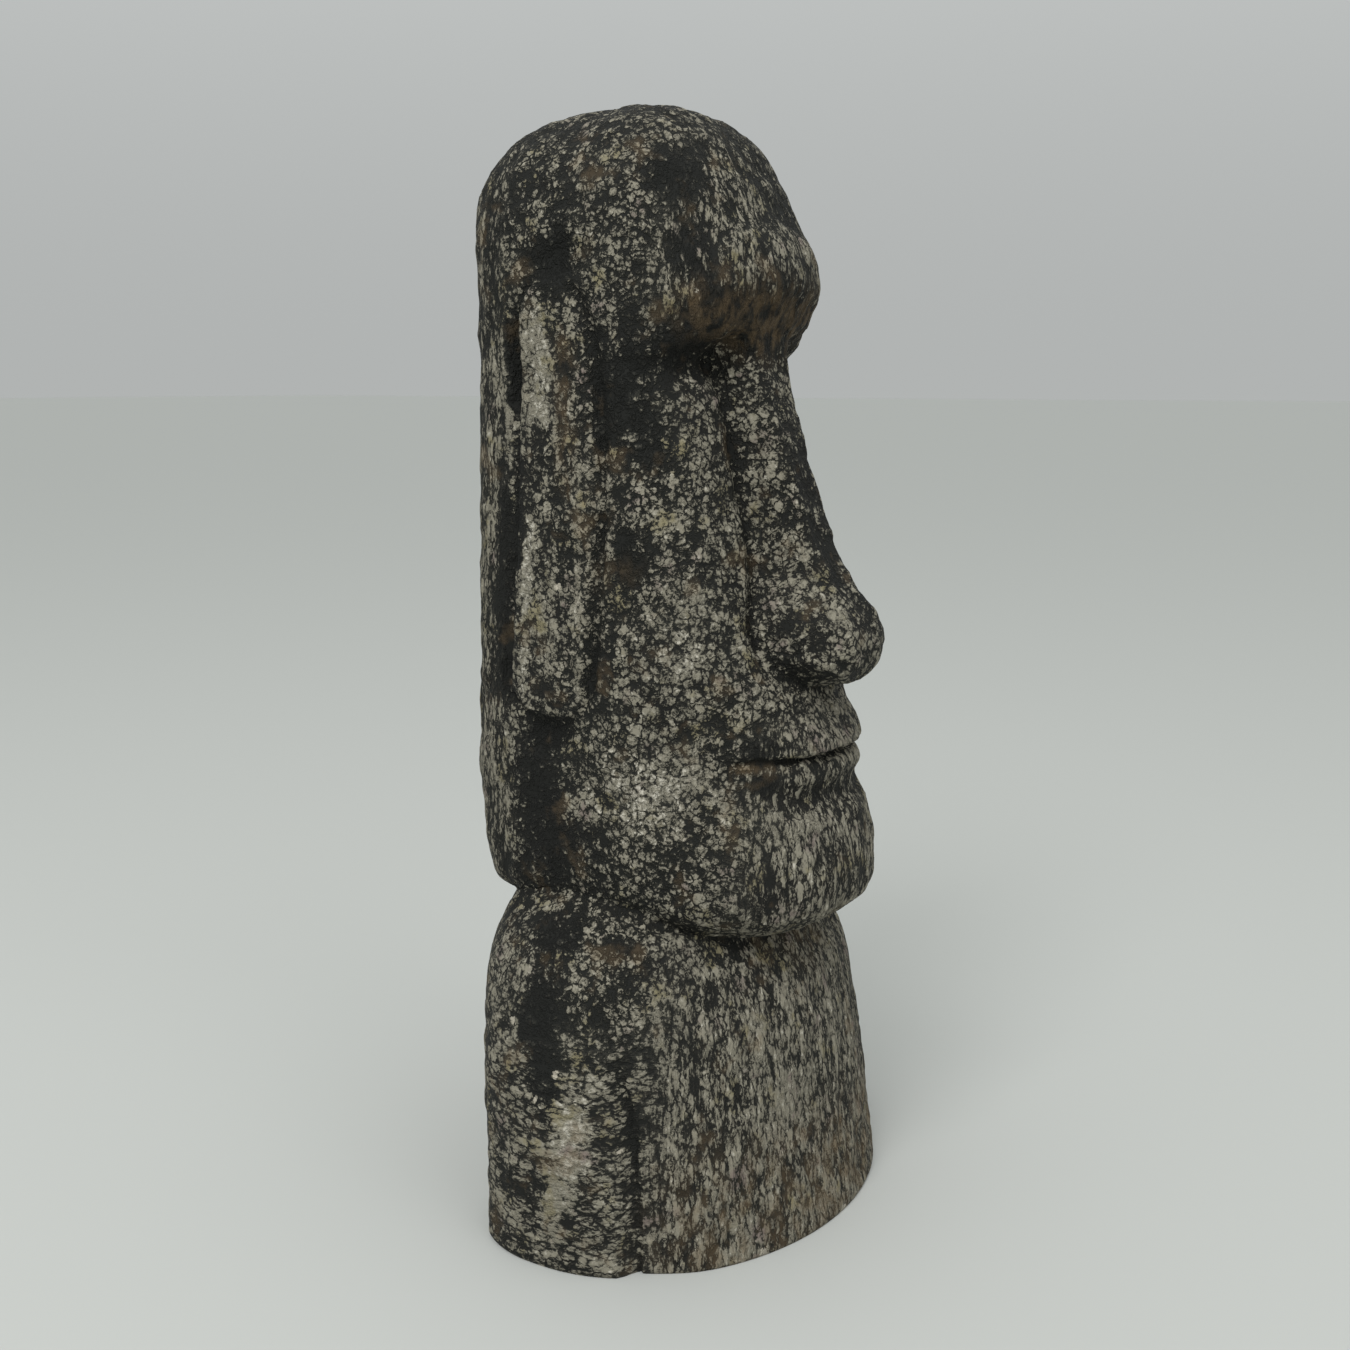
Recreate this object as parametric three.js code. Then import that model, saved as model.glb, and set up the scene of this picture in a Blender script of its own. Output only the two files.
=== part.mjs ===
// A moai statue: a long head with heavy brow, long nose and bar-shaped ears, on a short armed torso.
// It is one casting, standing on its flat underside. Millimetres, +Z up, the face looks along -Y.
//
// The skin is worked out one level at a time. A plain block for the head and one for the torso are
// rounded sections whose half-width, front and back change with height. The larger of the two at each
// bearing is the body, so the head overhangs the shoulders. Then the face, ears and arms are carved:
// the face moves the skin forwards or back, the ears and arms move it sideways.
import * as THREE from "three";

// Overall sizes.
const HEIGHT = 436;
const AXIS_AHEAD = -15; // the line that the bearings turn about, ahead of the face's datum

// Heights of the features, from the underside up.
const GROIN = 60;
const SHOULDER = 97;
const NECK = 125;
const JAW = 131;
const CHIN = 145;
const CHIN_TOP = 163;
const LIP_FOLD = 176;
const MOUTH = 191;
const NOSE_BASE = 218;
const NOSE_TIP = 234;
const CHEEK = 262;
const CHEEK_TOP = 288;
const EYE = 340;
const BROW_UNDER = 351;
const BROW = 368;
const FOREHEAD = 392;
const CROWN_START = 385;

// Head block: half-width, reach ahead of the datum, reach behind it, and squareness of the front.
const HEAD_HALF_WIDTH = [
  [100, 58], [JAW, 61], [CHIN_TOP, 63], [205, 63], [CHEEK_TOP, 61], [EYE, 59.5], [BROW, 60], [400, 57.5],
];
const FACE_AHEAD = [
  [100, 66], [JAW, 70], [CHIN, 71], [CHIN_TOP, 68], [LIP_FOLD, 64], [MOUTH, 62], [205, 58], [NOSE_BASE, 53],
  [235, 45], [CHEEK, 36], [CHEEK_TOP, 30], [318, 25], [EYE, 23], [345, 25.5], [BROW_UNDER, 33.5], [359, 38],
  [BROW, 42], [380, 39.5], [FOREHEAD, 33.5], [410, 30],
];
const HEAD_BEHIND = [[100, 72], [JAW, 74], [155, 78], [180, 79.5], [230, 77], [300, 76]];
const FACE_SQUARENESS = [
  [JAW, 2.5], [CHIN_TOP, 2.2], [MOUTH, 2], [240, 2.7], [CHEEK_TOP, 3.3], [325, 2.7], [345, 2.2], [400, 2.2],
];
const HEAD_BACK_SQUARENESS = 5.5;
const JAW_FLARE = [[JAW, 0.06], [180, 0.05], [230, 0.03], [CHEEK_TOP, 0]]; // wider in front, per 100 mm
const BROW_SAG = 14; // the brow's ends hang this much lower than its middle
const JAW_ROLL = { top: 141, frontDrop: 3, height: 27, roundness: 2.2 }; // how the jaw rolls under

// Crown: a dome, fuller towards the forehead.
const CROWN_AHEAD = -25;
const CROWN_ROUNDNESS = 2.2;
const CROWN_FRONT_ROUNDNESS = 2.7;

// Torso block.
const TORSO_HALF_WIDTH = [[0, 101], [GROIN, 98.5], [SHOULDER, 93]];
const CHEST_AHEAD = [[0, 69.5], [GROIN, 60], [SHOULDER, 53], [NECK, 45]];
const TORSO_BEHIND = [[0, 66], [GROIN, 68], [SHOULDER, 70]];
const CHEST_SQUARENESS = 2;
const TORSO_BACK_SQUARENESS = 2.8;
const SHOULDER_DOME_FOOT = 78;
const SHOULDER_DOME_TOP = 148;
const SHOULDER_ROUNDNESS = { side: 2.3, back: 4, front: 2.6 };
const NECK_FILLET = 3;
const NECK_CREASE = { front: 117, side: 135, back: 126 }; // where the head meets the shoulders

// Nose: how far its ridge stands ahead, half-width of its front plane, half-width at its foot.
const NOSE_AHEAD = [
  [212, 62], [NOSE_BASE, 68], [226, 73.5], [NOSE_TIP, 75], [243, 72.5], [254, 65], [268, 56.5],
  [CHEEK_TOP, 48.5], [310, 41], [330, 34.5], [EYE, 32], [BROW_UNDER, 33],
];
const NOSE_PLANE = [[215, 4], [226, 6], [240, 7], [254, 8], [300, 7.5], [320, 8.5], [345, 10]];
const NOSE_FOOT = [
  [214, 22], [226, 25.5], [240, 25.5], [250, 21], [CHEEK, 17], [285, 16], [320, 18], [345, 21],
];
const NOSE_UNDERSIDE = 215.5; // height of the underside on the midline
const WING = { across: 24, lift: 11, bearing: 0.37 }; // the nose's wings end higher than its tip
const MOUTH_HALF_WIDTH = 43;
const MOUTH_GROOVE = 2.6; // its depth, and its half-height

// Ears: a long raised bar on each side, between these reaches ahead of the datum.
const EAR_BOTTOM = 204;
const EAR_TOP = 370;
const EAR_BACK = [
  [EAR_BOTTOM, -31], [209, -44], [216, -49], [240, -47], [300, -44], [350, -45], [364, -41], [EAR_TOP, -33],
];
const EAR_FRONT = [
  [EAR_BOTTOM, -25], [209, -16], [222, -12.5], [300, -8], [345, -12], [362, -18], [EAR_TOP, -27],
];
const EAR_RAISED = 2.8;
const EAR_SOFTNESS = 1.6;
const EAR_HOOD = { ahead: -25, height: 372, depth: 3.8 }; // the hollow that cuts out the ear's top
const EAR_PIT = { ahead: -30, depth: 3.5 }; // the hollow under its lobe

// Arms: they hang straight down, parted from the chest by a groove.
const ARM_FRONT = [[0, 23], [50, 20], [82, 14.5], [110, 12]];
const ARM_GROOVE = 3.5;
const CHEST_HOLLOW = { depth: 4, width: 26 }; // the chest sinks towards the arm
const ARM_BACK_HOLLOW = { ahead: -50, depth: 3, reach: 10 };

// Mesh: bearings all round, closer together over the face, and levels, closer at the ledges.
const COLUMNS = 84;
const FACE_CROWDING = 0.42;
const NOSE_CREASE_BEARING = 0.4; // radians: the column here runs down the crease beside the nose
const LEVEL_STEP = 10;
const LEDGES = [
  { height: NECK, reach: 24, crowding: 1.6 },
  { height: MOUTH, reach: 9, crowding: 1.8 },
  { height: NOSE_BASE, reach: 12, crowding: 1.8 },
  { height: BROW_UNDER, reach: 18, crowding: 1.2 },
];
const CROWN_LEVELS = 8;

const STONE = { color: 0x45443f, roughness: 0.92, metalness: 0 };

// 0 before one value, 1 after the other, and smooth between them, in either direction.
function ramp(value, zeroAt, oneAt) {
  const t = THREE.MathUtils.clamp((value - zeroAt) / (oneAt - zeroAt), 0, 1);
  return t * t * (3 - 2 * t);
}

// 1 at the middle, 0 beyond the reach on each side of it.
function hump(value, middle, reach) {
  return 1 - ramp(Math.abs(value - middle), 0, reach);
}

// The size at a height, on a smooth curve through a few [height, size] pairs that never overshoots.
function sizeAt(stations, height) {
  const last = stations.length - 1;
  const at = THREE.MathUtils.clamp(height, stations[0][0], stations[last][0]);
  const slope = (k) => (stations[k + 1][1] - stations[k][1]) / (stations[k + 1][0] - stations[k][0]);
  const gap = (k) => stations[k + 1][0] - stations[k][0];
  const tangent = (k) => {
    if (k === 0) return slope(0);
    if (k === last) return slope(last - 1);
    if (slope(k - 1) * slope(k) <= 0) return 0;
    const before = 2 * gap(k) + gap(k - 1);
    const after = gap(k) + 2 * gap(k - 1);
    return (before + after) / (before / slope(k - 1) + after / slope(k));
  };
  let k = 0;
  while (k < last - 1 && at >= stations[k + 1][0]) k += 1;
  const t = (at - stations[k][0]) / gap(k);
  const rest = 1 - t;
  return (
    (1 + 2 * t) * rest * rest * stations[k][1] +
    t * rest * rest * gap(k) * tangent(k) +
    t * t * (3 - 2 * t) * stations[k + 1][1] -
    t * t * rest * gap(k) * tangent(k + 1)
  );
}

// A rounded section: the distance from the axis to its edge along a bearing. The exponent makes it an
// ellipse at 2 and squarer above that.
function sectionRadius(bearing, halfWidth, front, back, frontSquareness, backSquareness) {
  const across = Math.abs(Math.sin(bearing));
  const along = Math.cos(bearing);
  const depth = along > 0 ? front : back;
  const squareness = THREE.MathUtils.lerp(backSquareness, frontSquareness, ramp(along, -0.85, 0.6));
  const sum = (across / halfWidth) ** squareness + (Math.abs(along) / depth) ** squareness;
  return sum ** (-1 / squareness);
}

// A quarter of a rounded hump: 1 at its foot, 0 at its top.
function dome(share, roundness) {
  return Math.max(1 - share ** roundness, 0) ** (1 / roundness);
}

// The head's block at a height, as a point {side, ahead} measured from the axis.
function headBlock(bearing, height) {
  const ends = Math.sin(bearing) ** 4;
  const sag = BROW_SAG * ends * ramp(height, EYE - 20, BROW_UNDER + 4) * ramp(height, 410, CROWN_START);
  const level = height + sag;
  const radius = sectionRadius(
    bearing,
    sizeAt(HEAD_HALF_WIDTH, height),
    sizeAt(FACE_AHEAD, level) - AXIS_AHEAD,
    sizeAt(HEAD_BEHIND, height) + AXIS_AHEAD,
    sizeAt(FACE_SQUARENESS, level),
    HEAD_BACK_SQUARENESS,
  );
  const ahead = radius * Math.cos(bearing);
  const flare = 1 + (sizeAt(JAW_FLARE, height) * ahead) / 100;
  const rollTop = JAW_ROLL.top - JAW_ROLL.frontDrop * ramp(ahead + AXIS_AHEAD, 0, 60);
  const rolled = THREE.MathUtils.clamp((rollTop - height) / JAW_ROLL.height, 0, 1);
  const roll = dome(rolled, JAW_ROLL.roundness);
  return { side: radius * Math.sin(bearing) * flare * roll, ahead: ahead * roll };
}

// The torso's block, domed over the shoulders.
function torsoBlock(bearing, height) {
  const radius = sectionRadius(
    bearing,
    sizeAt(TORSO_HALF_WIDTH, height),
    sizeAt(CHEST_AHEAD, height) - AXIS_AHEAD,
    sizeAt(TORSO_BEHIND, height) + AXIS_AHEAD,
    CHEST_SQUARENESS,
    TORSO_BACK_SQUARENESS,
  );
  const span = SHOULDER_DOME_TOP - SHOULDER_DOME_FOOT;
  const share = THREE.MathUtils.clamp((height - SHOULDER_DOME_FOOT) / span, 0, 1);
  const ahead = radius * Math.cos(bearing);
  const fore = ahead > 0 ? SHOULDER_ROUNDNESS.front : SHOULDER_ROUNDNESS.back;
  return {
    side: radius * Math.sin(bearing) * dome(share, SHOULDER_ROUNDNESS.side),
    ahead: ahead * dome(share, fore),
  };
}

// The nose's relief, up to the brow: a front plane, flanks that run out at its foot, and rounded wings.
function noseRelief(across, ahead, height) {
  const plane = sizeAt(NOSE_PLANE, height);
  const foot = sizeAt(NOSE_FOOT, height);
  const inward = THREE.MathUtils.clamp((foot - across) / (foot - plane), 0, 1);
  const sloped = inward * inward * (3 - 2 * inward);
  const bulbous = Math.sqrt(1 - (1 - inward) ** 2.4);
  const flank = THREE.MathUtils.lerp(sloped, bulbous, ramp(height, CHEEK, CHEEK - 16));
  const underside = NOSE_UNDERSIDE + WING.lift * (across / WING.across) ** 2;
  const span = ramp(height, BROW_UNDER + 6, BROW_UNDER - 6) * ramp(height, underside - 1, underside + 4.5);
  const valleySpan = ramp(height, NOSE_BASE - 3, 240) * ramp(height, BROW_UNDER, EYE - 5);
  const valley = 4 * hump(across, foot + 1, 9) * valleySpan;
  return Math.max(sizeAt(NOSE_AHEAD, height) - ahead, 0) * flank * span - valley;
}

// The lips' relief: two low swellings parted by a groove, with a fold below them.
function lipRelief(across, height) {
  const upper = 4.5 * ramp(height, MOUTH - 0.5, MOUTH + 3) * ramp(height, 212, 195) * ramp(across, 44, 22);
  const lower = 2.2 * hump(height, MOUTH - 6, 6.5) * ramp(across, 42, 20);
  const ends = ramp(across, MOUTH_HALF_WIDTH + 3, MOUTH_HALF_WIDTH - 3);
  const groove = MOUTH_GROOVE * hump(height, MOUTH, MOUTH_GROOVE) * ends;
  const corner = 2.5 * hump(across, MOUTH_HALF_WIDTH, 9) * hump(height, MOUTH - 3, 10);
  const fold = 2.5 * hump(height, LIP_FOLD - 1, 8) * ramp(across, 45, 20);
  return upper + lower - groove - corner - fold;
}

// The face's relief: how far the skin moves forwards. across is the distance from the midline.
function faceRelief(across, ahead, height) {
  const socket = 5 * hump(across, 33, 24) * hump(height, EYE - 1, 16);
  return noseRelief(across, ahead, height) + lipRelief(across, height) - socket;
}

// The ear's relief: how far the skin moves outwards on the side of the head.
function earRelief(ahead, height) {
  const back = sizeAt(EAR_BACK, height);
  const front = sizeAt(EAR_FRONT, height);
  const behindEdge = ramp(ahead, back - EAR_SOFTNESS, back + EAR_SOFTNESS);
  const frontEdge = ramp(ahead, front + EAR_SOFTNESS, front - EAR_SOFTNESS);
  const ends = ramp(height, EAR_BOTTOM - 3, EAR_BOTTOM + 4) * ramp(height, EAR_TOP + 2, EAR_TOP - 5);
  const creaseSpan = ramp(height, EAR_BOTTOM, EAR_BOTTOM + 9) * ramp(height, EAR_TOP + 3, EAR_TOP - 8);
  const slotDepth = 1.5 + 4 * hump(height, EYE - 3, 30) + 0.8 * hump(height, 215, 30);
  const slot = slotDepth * hump(ahead, back - 1.5, 5) * creaseSpan;
  const crease = 1.8 * hump(ahead, front + 1.5, 4) * creaseSpan;
  const hoodReach = hump(ahead, EAR_HOOD.ahead + (height - EAR_HOOD.height) / 4, 17);
  const hood = EAR_HOOD.depth * hoodReach * ramp(height, EAR_TOP - 2, EAR_TOP + 3) * ramp(height, 391, 377);
  const pitSpan = ramp(height, EAR_BOTTOM + 3, EAR_BOTTOM - 3) * ramp(height, 188, 198);
  const pit = EAR_PIT.depth * hump(ahead, EAR_PIT.ahead, 20) * pitSpan;
  return EAR_RAISED * behindEdge * frontEdge * ends - slot - crease - hood - pit;
}

// The arm's relief: how far the skin moves outwards on the side of the torso.
function armRelief(ahead, height) {
  const front = sizeAt(ARM_FRONT, height);
  const groove = ARM_GROOVE * hump(ahead, front, ARM_GROOVE) * ramp(height, 90, 74);
  const sinking = ramp(ahead, front + CHEST_HOLLOW.width, front) * ramp(ahead, front - 1, front + 1.5);
  const lowDown = ramp(height, 100, GROIN);
  const behind = ARM_BACK_HOLLOW.depth * hump(ahead, ARM_BACK_HOLLOW.ahead, ARM_BACK_HOLLOW.reach);
  return -groove - (CHEST_HOLLOW.depth * sinking + behind) * lowDown;
}

// The finished skin at a bearing and height: {side, ahead} from the datum.
function skin(bearing, height) {
  const head = headBlock(bearing, height);
  const torso = torsoBlock(bearing, height);
  const headReach = Math.hypot(head.side, head.ahead);
  const torsoReach = Math.hypot(torso.side, torso.ahead);
  const onHead = headReach > torsoReach;
  const block = onHead ? head : torso;
  const blend = THREE.MathUtils.clamp(0.5 + (headReach - torsoReach) / (2 * NECK_FILLET), 0, 1);
  const reach = THREE.MathUtils.lerp(torsoReach, headReach, blend) + NECK_FILLET * blend * (1 - blend);
  const grow = reach / Math.max(headReach, torsoReach);
  const side = block.side * grow;
  const ahead = block.ahead * grow + AXIS_AHEAD;
  const sideways = Math.abs(Math.sin(bearing));
  if (onHead) {
    const facing = ramp(Math.cos(bearing), 0.35, 0.75);
    const ear = earRelief(ahead, height) * ramp(sideways, 0.55, 0.8);
    return {
      side: side + Math.sign(side) * ear,
      ahead: ahead + faceRelief(Math.abs(side), ahead, height) * facing,
    };
  }
  const arm = armRelief(ahead, height) * ramp(sideways, 0.3, 0.6);
  return { side: side + Math.sign(side) * arm, ahead };
}

// The bearing of a column at a height. Columns crowd over the face, and those beside the nose follow
// the crease at its foot.
function bearingAt(turn, height) {
  const bearing = turn - FACE_CROWDING * Math.sin(turn);
  const crease = Math.atan2(sizeAt(NOSE_FOOT, height) + 1, sizeAt(FACE_AHEAD, height) - AXIS_AHEAD);
  const besideNose = ramp(height, NOSE_BASE - 10, NOSE_BASE + 8) * ramp(height, BROW, BROW_UNDER);
  const pull = (crease / NOSE_CREASE_BEARING - 1) * besideNose * ramp(Math.abs(bearing), 1.2, 0.4);
  return bearing * (1 + pull);
}

// The height of a level at a bearing. Levels are flat, but near the neck they follow its crease, and
// under the nose they follow the wings.
function heightAt(bearing, level) {
  const around = Math.sin(bearing) ** 4;
  const middle = Math.cos(bearing) > 0 ? NECK_CREASE.front : NECK_CREASE.back;
  const crease = THREE.MathUtils.lerp(middle, NECK_CREASE.side, around);
  const wing = WING.lift * hump(Math.abs(bearing), WING.bearing, WING.bearing);
  return level + (crease - NECK) * hump(level, NECK, 60) + wing * hump(level, NOSE_BASE, 26);
}

// The levels that the skin is worked out at, from the underside to the foot of the crown.
function bodyLevels() {
  const levels = [0];
  let height = 0;
  while (height < CROWN_START) {
    let crowding = 1;
    for (const ledge of LEDGES) crowding += ledge.crowding * hump(height + 3, ledge.height, ledge.reach);
    height += LEVEL_STEP / crowding;
    levels.push(Math.min(height, CROWN_START));
  }
  return levels;
}

// One ring of the crown: the share of the way up, from 0 at its foot to 1 at the top.
function crownPoint(bearing, share) {
  const rise = Math.sin((share * Math.PI) / 2) ** (2 / CROWN_ROUNDNESS);
  const height = CROWN_START + (HEIGHT - CROWN_START) * rise;
  const foot = skin(bearing, height);
  const inFront = ramp(Math.cos(bearing), -0.2, 0.6);
  const roundness = THREE.MathUtils.lerp(CROWN_ROUNDNESS, CROWN_FRONT_ROUNDNESS, inFront);
  const scale = dome(rise, roundness);
  const centre = THREE.MathUtils.lerp(AXIS_AHEAD, CROWN_AHEAD, rise);
  return { side: foot.side * scale, ahead: centre + (foot.ahead - AXIS_AHEAD) * scale, height };
}

// A sphere's net of columns and rows, pulled onto the statue: its top pole is the crown, its bottom
// pole the middle of the underside, and the row above that the edge of the underside.
function statueGeometry() {
  const levels = bodyLevels();
  const rows = levels.length + CROWN_LEVELS;
  const geometry = new THREE.SphereGeometry(1, COLUMNS, rows);
  const place = geometry.getAttribute("position");
  const net = geometry.getAttribute("uv");
  for (let i = 0; i < place.count; i += 1) {
    const row = Math.round((1 - net.getY(i)) * rows);
    const turn = 2 * Math.PI * (net.getX(i) - 0.5);
    const fromBottom = rows - 1 - row;
    if (fromBottom < 0) {
      place.setXYZ(i, 0, 0, 0);
    } else if (fromBottom < levels.length) {
      const bearing = bearingAt(turn, levels[fromBottom]);
      const height = heightAt(bearing, levels[fromBottom]);
      const point = skin(bearing, height);
      place.setXYZ(i, point.side, -point.ahead, height);
    } else {
      const share = (fromBottom - levels.length + 1) / CROWN_LEVELS;
      const point = crownPoint(bearingAt(turn, CROWN_START), share);
      place.setXYZ(i, point.side, -point.ahead, point.height);
    }
  }
  geometry.computeBoundingBox();
  const middle = geometry.boundingBox.getCenter(new THREE.Vector3());
  geometry.translate(-middle.x, -middle.y, 0);
  geometry.computeVertexNormals();
  return geometry;
}

const casting = new THREE.Mesh(statueGeometry(), new THREE.MeshStandardMaterial(STONE));
casting.name = "moai_casting";

const statue = new THREE.Group();
statue.add(casting);

export default statue;
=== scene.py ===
import math

import bpy
import numpy as np
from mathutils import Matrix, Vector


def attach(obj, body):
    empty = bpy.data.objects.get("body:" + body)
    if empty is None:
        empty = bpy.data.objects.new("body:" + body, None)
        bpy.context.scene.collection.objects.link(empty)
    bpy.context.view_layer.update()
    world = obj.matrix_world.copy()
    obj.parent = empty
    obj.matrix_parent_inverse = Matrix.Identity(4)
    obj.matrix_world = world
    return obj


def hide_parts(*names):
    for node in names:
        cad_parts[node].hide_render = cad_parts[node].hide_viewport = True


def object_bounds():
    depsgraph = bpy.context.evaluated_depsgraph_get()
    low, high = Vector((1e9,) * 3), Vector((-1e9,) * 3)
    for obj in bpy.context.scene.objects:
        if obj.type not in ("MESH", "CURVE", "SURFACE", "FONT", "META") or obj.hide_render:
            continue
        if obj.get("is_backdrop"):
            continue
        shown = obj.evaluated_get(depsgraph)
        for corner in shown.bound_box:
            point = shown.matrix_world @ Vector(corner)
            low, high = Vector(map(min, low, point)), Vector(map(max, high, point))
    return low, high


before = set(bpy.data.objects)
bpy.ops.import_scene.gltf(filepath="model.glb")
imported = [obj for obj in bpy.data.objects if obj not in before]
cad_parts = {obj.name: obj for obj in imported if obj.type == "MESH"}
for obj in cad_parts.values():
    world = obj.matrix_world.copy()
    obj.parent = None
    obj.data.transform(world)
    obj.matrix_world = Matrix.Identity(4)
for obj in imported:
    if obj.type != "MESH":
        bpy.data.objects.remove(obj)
cad_low, cad_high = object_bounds()


# The statue. It is one solid casting in a fine cement mix, taken from a mould of a chiselled
# original, so the whole skin is pitted and flaked. It was painted matt charcoal and then dry-brushed
# with a pale grey-beige, which caught on the high spots only.
#
# Its skin is worked out in millimetres from the underside up: a rounded section for the head and one
# for the torso, the larger of the two at each bearing, and then the carving of face, ears and arms.
# A bearing is an angle about the upright axis, 0 straight ahead and positive towards its left ear.
MM = 0.001
HEIGHT = (cad_high.z - cad_low.z) / MM
AXIS_AHEAD = -15

JAW, CHIN, CHIN_TOP, LIP_FOLD, MOUTH = 131, 145, 163, 176, 191
NOSE_BASE, NOSE_TIP, CHEEK, CHEEK_TOP, EYE = 218, 234, 262, 288, 340
BROW_UNDER, BROW, FOREHEAD, CROWN_START = 351, 368, 392, 385
GROIN, SHOULDER, NECK = 60, 97, 125

HEAD_HALF_WIDTH = [
    (100, 58), (JAW, 61), (CHIN_TOP, 63), (205, 63), (CHEEK_TOP, 61), (EYE, 59.5), (BROW, 60), (400, 57.5),
]
FACE_AHEAD = [
    (100, 66), (JAW, 70), (CHIN, 71), (CHIN_TOP, 68), (LIP_FOLD, 64), (MOUTH, 62), (205, 58),
    (NOSE_BASE, 53), (235, 45), (CHEEK, 36), (CHEEK_TOP, 30), (318, 25), (EYE, 23), (345, 25.5),
    (BROW_UNDER, 33.5), (359, 38), (BROW, 42), (380, 39.5), (FOREHEAD, 33.5), (410, 30),
]
HEAD_BEHIND = [(100, 72), (JAW, 74), (155, 78), (180, 79.5), (230, 77), (300, 76)]
FACE_SQUARENESS = [
    (JAW, 2.5), (CHIN_TOP, 2.2), (MOUTH, 2), (240, 2.7), (CHEEK_TOP, 3.3), (325, 2.7), (345, 2.2), (400, 2.2),
]
HEAD_BACK_SQUARENESS = 5.5
JAW_FLARE = [(JAW, 0.06), (180, 0.05), (230, 0.03), (CHEEK_TOP, 0)]
BROW_SAG = 14
JAW_ROLL = {"top": 141, "front_drop": 3, "height": 27, "roundness": 2.2}

TORSO_HALF_WIDTH = [(0, 101), (GROIN, 98.5), (SHOULDER, 93)]
CHEST_AHEAD = [(0, 69.5), (GROIN, 60), (SHOULDER, 53), (NECK, 45)]
TORSO_BEHIND = [(0, 66), (GROIN, 68), (SHOULDER, 70)]
CHEST_SQUARENESS, TORSO_BACK_SQUARENESS = 2, 2.8
SHOULDER_DOME_FOOT, SHOULDER_DOME_TOP = 78, 148
SHOULDER_ROUNDNESS = {"side": 2.3, "back": 4, "front": 2.6}
NECK_FILLET = 3
NECK_CREASE = {"front": 117, "side": 135, "back": 126}

NOSE_AHEAD = [
    (212, 62), (NOSE_BASE, 68), (226, 73.5), (NOSE_TIP, 75), (243, 72.5), (254, 65), (268, 56.5),
    (CHEEK_TOP, 48.5), (310, 41), (330, 34.5), (EYE, 32), (BROW_UNDER, 33),
]
NOSE_PLANE = [(215, 4), (226, 6), (240, 7), (254, 8), (300, 7.5), (320, 8.5), (345, 10)]
NOSE_FOOT = [
    (214, 22), (226, 25.5), (240, 25.5), (250, 21), (CHEEK, 17), (285, 16), (320, 18), (345, 21),
]
NOSE_UNDERSIDE = 215.5
WING = {"across": 24, "lift": 11, "bearing": 0.37}
MOUTH_HALF_WIDTH, MOUTH_GROOVE = 43, 2.6

EAR_BOTTOM, EAR_TOP = 204, 370
EAR_BACK = [
    (EAR_BOTTOM, -31), (209, -44), (216, -49), (240, -47), (300, -44), (350, -45), (364, -41), (EAR_TOP, -33),
]
EAR_FRONT = [
    (EAR_BOTTOM, -25), (209, -16), (222, -12.5), (300, -8), (345, -12), (362, -18), (EAR_TOP, -27),
]
EAR_RAISED, EAR_SOFTNESS = 2.8, 1.6
EAR_HOOD = {"ahead": -25, "height": 372, "depth": 3.8}
EAR_PIT = {"ahead": -30, "depth": 3.5}
ARM_FRONT = [(0, 23), (50, 20), (82, 14.5), (110, 12)]
ARM_GROOVE = 3.5
CHEST_HOLLOW = {"depth": 4, "width": 26}
ARM_BACK_HOLLOW = {"ahead": -50, "depth": 3, "reach": 10}

CROWN_AHEAD = -25
CROWN_ROUNDNESS, CROWN_FRONT_ROUNDNESS = 2.2, 2.7


def ramp(value, zero_at, one_at):
    """0 before one value, 1 after the other, and smooth between them, in either direction."""
    t = np.clip((value - zero_at) / (one_at - zero_at), 0, 1)
    return t * t * (3 - 2 * t)


def hump(value, middle, reach):
    """1 at the middle, 0 beyond the reach on each side of it."""
    return 1 - ramp(np.abs(value - middle), 0, reach)


def blend(a, b, share):
    return a + (b - a) * share


def size_at(stations, height):
    """The size at a height, on a smooth curve through a few (height, size) pairs."""
    at, size = np.array(stations, float).T
    gap = np.diff(at)
    slope = np.diff(size) / gap
    tangent = np.zeros_like(size)
    tangent[0], tangent[-1] = slope[0], slope[-1]
    for k in range(1, len(size) - 1):
        if slope[k - 1] * slope[k] > 0:
            before, after = 2 * gap[k] + gap[k - 1], gap[k] + 2 * gap[k - 1]
            tangent[k] = (before + after) / (before / slope[k - 1] + after / slope[k])
    height = np.clip(height, at[0], at[-1])
    k = np.clip(np.searchsorted(at, height, side="right") - 1, 0, len(gap) - 1)
    t = (height - at[k]) / gap[k]
    start = (1 + 2 * t) * (1 - t) ** 2 * size[k] + t * (1 - t) ** 2 * gap[k] * tangent[k]
    end = t * t * (3 - 2 * t) * size[k + 1] - t * t * (1 - t) * gap[k] * tangent[k + 1]
    return start + end


def section_radius(bearing, half_width, front, back, front_squareness, back_squareness):
    """How far a rounded section's edge is from the axis: an ellipse at squareness 2, boxy above it."""
    along = np.cos(bearing)
    depth = np.where(along > 0, front, back)
    squareness = blend(back_squareness, front_squareness, ramp(along, -0.85, 0.6))
    total = (np.abs(np.sin(bearing)) / half_width) ** squareness + (np.abs(along) / depth) ** squareness
    return total ** (-1 / squareness)


def dome(share, roundness):
    """A quarter of a rounded hump: 1 at its foot, 0 at its top."""
    return np.maximum(1 - share**roundness, 0) ** (1 / roundness)


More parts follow.
